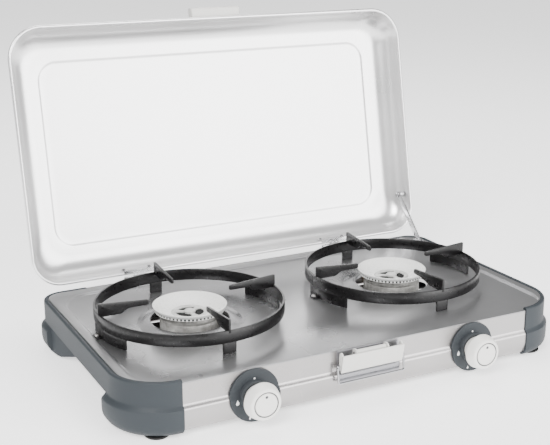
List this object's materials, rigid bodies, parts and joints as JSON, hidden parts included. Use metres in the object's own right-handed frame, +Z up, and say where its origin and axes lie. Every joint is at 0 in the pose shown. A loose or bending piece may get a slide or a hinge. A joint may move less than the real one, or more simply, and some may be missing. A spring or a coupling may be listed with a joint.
{
  "type": "camping stove",
  "caption": "Portable gas camping stove: steel body between moulded side frames, burners under ring pan supports, turning knobs, a front latch and a hinged lid that stands open on a stay.",
  "frame": {"origin": "on the surface the feet stand on, under the middle of the overall width and depth with the lid open", "axes": "+Z up, +X to the right and +Y to the back as seen by the cook; the knobs and latch face -Y"},
  "size_m": [0.542, 0.4266, 0.3751],
  "materials": {
    "silver_paint": "satin silver paint on pressed steel",
    "grey_plastic": "fine matte",
    "black_rubber": "matte",
    "cast_aluminium": "rough as cast",
    "white_enamel": "off-white enamel",
    "black_enamel": "dark satin enamel",
    "cream_plastic": "smooth semi-gloss",
    "bright_steel": "bright zinc plated",
    "brass": "machined"
  },
  "bodies": {
    "base": {"hob_plate": "silver_paint", "front_panel": "silver_paint", "back_panel": "silver_paint", "base_sheet": "bright_steel", "side_frame_left": "grey_plastic", "side_frame_right": "grey_plastic", "foot_pad_front_left": "black_rubber", "foot_pad_front_right": "black_rubber", "foot_pad_rear_left": "black_rubber", "foot_pad_rear_right": "black_rubber", "burner_body_left": "cast_aluminium", "burner_body_right": "cast_aluminium", "mixing_tube_left": "bright_steel", "mixing_tube_right": "bright_steel", "valve_body_left": "brass", "valve_body_right": "brass", "jet_left": "brass", "jet_right": "brass", "gas_pipe": "brass", "gas_inlet": "brass", "pan_support_left": "black_enamel", "pan_support_right": "black_enamel", "support_screw_left_left": "bright_steel", "support_screw_left_right": "bright_steel", "support_screw_right_left": "bright_steel", "support_screw_right_right": "bright_steel", "bezel_left": "grey_plastic", "bezel_right": "grey_plastic", "latch_bracket": "bright_steel", "latch_rivet_left": "bright_steel", "latch_rivet_right": "bright_steel", "latch_pin": "bright_steel", "hinge_leaf_base_left": "bright_steel", "hinge_leaf_base_right": "bright_steel", "hinge_pin_left": "bright_steel", "hinge_pin_right": "bright_steel"},
    "lid": {"lid_pan": "silver_paint", "lid_catch": "cream_plastic", "hinge_leaf_lid_left": "bright_steel", "hinge_leaf_lid_right": "bright_steel", "hinge_rivet_left_inner": "bright_steel", "hinge_rivet_left_outer": "bright_steel", "hinge_rivet_right_inner": "bright_steel", "hinge_rivet_right_outer": "bright_steel", "stay_bush": "bright_steel", "stay_screw": "bright_steel"},
    "stay": {"lid_stay": "bright_steel"},
    "knob_left_turning": {"knob_left": "cream_plastic", "knob_insert_left": "cream_plastic", "valve_spindle_left": "brass"},
    "knob_right_turning": {"knob_right": "cream_plastic", "knob_insert_right": "cream_plastic", "valve_spindle_right": "brass"},
    "cap_left": {"burner_cap_left": "white_enamel"},
    "cap_right": {"burner_cap_right": "white_enamel"},
    "lever": {"latch_lever": "cream_plastic"},
    "bail": {"latch_bail": "bright_steel"}
  },
  "joints": [
    {"name": "lid_hinge", "type": "hinge", "parent": "base", "child": "lid", "pos_m": [0, 0.1218, 0.0609], "axis": [1, 0, 0], "range_deg": [0, 101.2]},
    {"name": "lid_stay_fold", "type": "hinge", "parent": "lid", "child": "stay", "pos_m": [0.255, 0.14646, 0.11025], "axis": [1, 0, 0], "range_deg": [-145.8, 0]},
    {"name": "knob_left_turn", "type": "hinge", "parent": "base", "child": "knob_left_turning", "pos_m": [-0.1334, -0.1993, 0.0299], "axis": [0, -1, 0], "range_deg": [0, 170]},
    {"name": "knob_right_turn", "type": "hinge", "parent": "base", "child": "knob_right_turning", "pos_m": [0.1334, -0.1993, 0.0299], "axis": [0, -1, 0], "range_deg": [0, 170]},
    {"name": "cap_left_lift", "type": "slide", "parent": "base", "child": "cap_left", "axis": [0, 0, 1], "range_m": [0, 0.02]},
    {"name": "cap_right_lift", "type": "slide", "parent": "base", "child": "cap_right", "axis": [0, 0, 1], "range_m": [0, 0.02]},
    {"name": "latch_lever_swing", "type": "hinge", "parent": "base", "child": "lever", "pos_m": [0, -0.1898, 0.054], "axis": [-1, 0, 0], "range_deg": [0, 45]},
    {"name": "latch_bail_swing", "type": "hinge", "parent": "lever", "child": "bail", "pos_m": [0, -0.1898, 0.042], "axis": [-1, 0, 0], "range_deg": [0, 95]}
  ],
  "couplings": [
    {"joint": "lid_stay_fold", "follows": "lid_hinge", "ratio": -1.4407}
  ]
}
